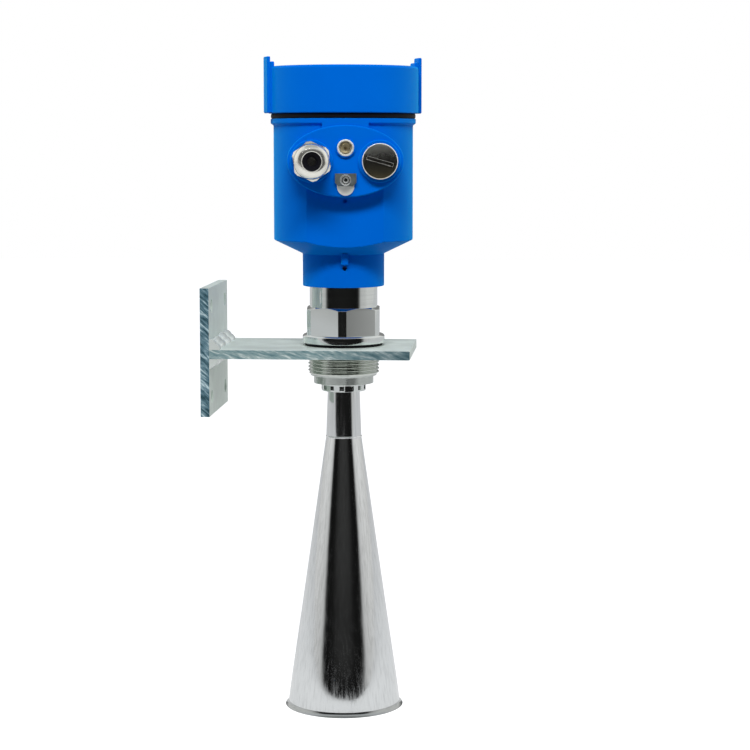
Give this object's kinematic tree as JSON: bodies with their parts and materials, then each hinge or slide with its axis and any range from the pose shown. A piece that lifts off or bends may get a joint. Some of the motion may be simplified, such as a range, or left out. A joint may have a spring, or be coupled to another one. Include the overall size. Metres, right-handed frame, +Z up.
{
  "type": "radar level transmitter",
  "caption": "Round plastic sensor housing with screw lid and cable gland, on a threaded steel fitting with a conical horn antenna, screwed into a welded wall bracket.",
  "frame": {"origin": "centre of the horn's mouth, on the plane of its lip", "axes": "+Z up along the antenna axis; the bracket arm lies along X with its wall face towards -X; the cable entries face -Y, turned 6.6 degrees towards +X"},
  "size_m": [0.1428, 0.1264, 0.4385],
  "materials": {
    "blue_plastic": "fine moulded texture, satin",
    "polished_stainless": "polished stainless steel",
    "galvanised_steel": "zinc coated, with ground edges",
    "nickel_brass": "nickel plated brass",
    "black_rubber": "moulded rubber",
    "black_plastic": "moulded",
    "grey_plastic": "moulded",
    "white_ptfe": "turned, waxy",
    "small_steel": "turned stainless steel"
  },
  "bodies": {
    "root": {"wall_plate": "galvanised_steel", "bracket_arm": "galvanised_steel", "weld_top": "galvanised_steel", "weld_bottom": "galvanised_steel", "process_fitting": "polished_stainless", "process_gasket": "black_rubber", "lock_ring": "polished_stainless", "horn_socket": "polished_stainless", "horn": "polished_stainless", "feed_cone": "white_ptfe", "swivel_oring": "black_rubber", "snap_ring": "small_steel"},
    "head": {"housing": "blue_plastic", "neck_set_screw": "small_steel", "electronics_cup": "black_plastic", "cup_screws": "small_steel", "terminal_block": "grey_plastic", "terminal_screws": "nickel_brass", "inner_earth_terminal": "small_steel", "vent_sleeve": "nickel_brass", "vent_screw": "nickel_brass", "earth_bush": "nickel_brass", "earth_plate": "small_steel", "gland_body": "nickel_brass", "gland_oring": "black_rubber"},
    "lid_lift_ring": {"lid_seal": "black_rubber"},
    "lid": {"lid": "blue_plastic"},
    "gland_insert": {"gland_claw": "black_plastic", "gland_seal": "black_rubber"},
    "gland_nut": {"gland_nut": "nickel_brass"},
    "plug_ring": {"plug_oring": "black_rubber"},
    "blind_plug": {"blind_plug": "nickel_brass"},
    "earth_clamp": {"earth_clamp": "small_steel", "earth_washer": "small_steel"},
    "earth_screw": {"earth_screw": "small_steel"}
  },
  "joints": [
    {"name": "housing_swivel", "type": "hinge", "parent": "root", "child": "head", "pos_m": [0, 0, 0.3], "axis": [0, 0, 1], "range_deg": [-165, 165]},
    {"name": "lid_lift", "type": "slide", "parent": "head", "child": "lid_lift_ring", "axis": [0, 0, 1], "range_m": [0, 0.01601]},
    {"name": "lid_turn", "type": "hinge", "parent": "lid_lift_ring", "child": "lid", "pos_m": [0, 0, 0.41], "axis": [0, 0, 1], "range_deg": [0, 1440]},
    {"name": "gland_insert_slide", "type": "slide", "parent": "head", "child": "gland_insert", "axis": [0.1149, -0.9934, 0], "range_m": [0, 0.00601]},
    {"name": "gland_nut_turn", "type": "hinge", "parent": "gland_insert", "child": "gland_nut", "pos_m": [-0.01451, -0.066, 0.3704], "axis": [0.1149, -0.9934, 0], "range_deg": [0, 1440]},
    {"name": "plug_slide", "type": "slide", "parent": "head", "child": "plug_ring", "axis": [0.1149, -0.9934, 0], "range_m": [0, 0.00901]},
    {"name": "plug_turn", "type": "hinge", "parent": "plug_ring", "child": "blind_plug", "pos_m": [0.02804, -0.05092, 0.3704], "axis": [0.1149, -0.9934, 0], "range_deg": [0, 2160]},
    {"name": "earth_clamp_slide", "type": "slide", "parent": "head", "child": "earth_clamp", "axis": [0.1149, -0.9934, 0], "range_m": [0, 0.0028]},
    {"name": "earth_screw_turn", "type": "hinge", "parent": "earth_clamp", "child": "earth_screw", "pos_m": [0.00609, -0.05265, 0.3585], "axis": [0.1149, -0.9934, 0], "range_deg": [0, 1440.5]}
  ],
  "couplings": [
    {"joint": "lid_lift", "follows": "lid_turn", "m_per_rad": 0.00063662},
    {"joint": "gland_insert_slide", "follows": "gland_nut_turn", "m_per_rad": 0.00023873},
    {"joint": "plug_slide", "follows": "plug_turn", "m_per_rad": 0.00023873},
    {"joint": "earth_screw_turn", "follows": "earth_clamp_slide", "rad_per_m": 8976}
  ]
}
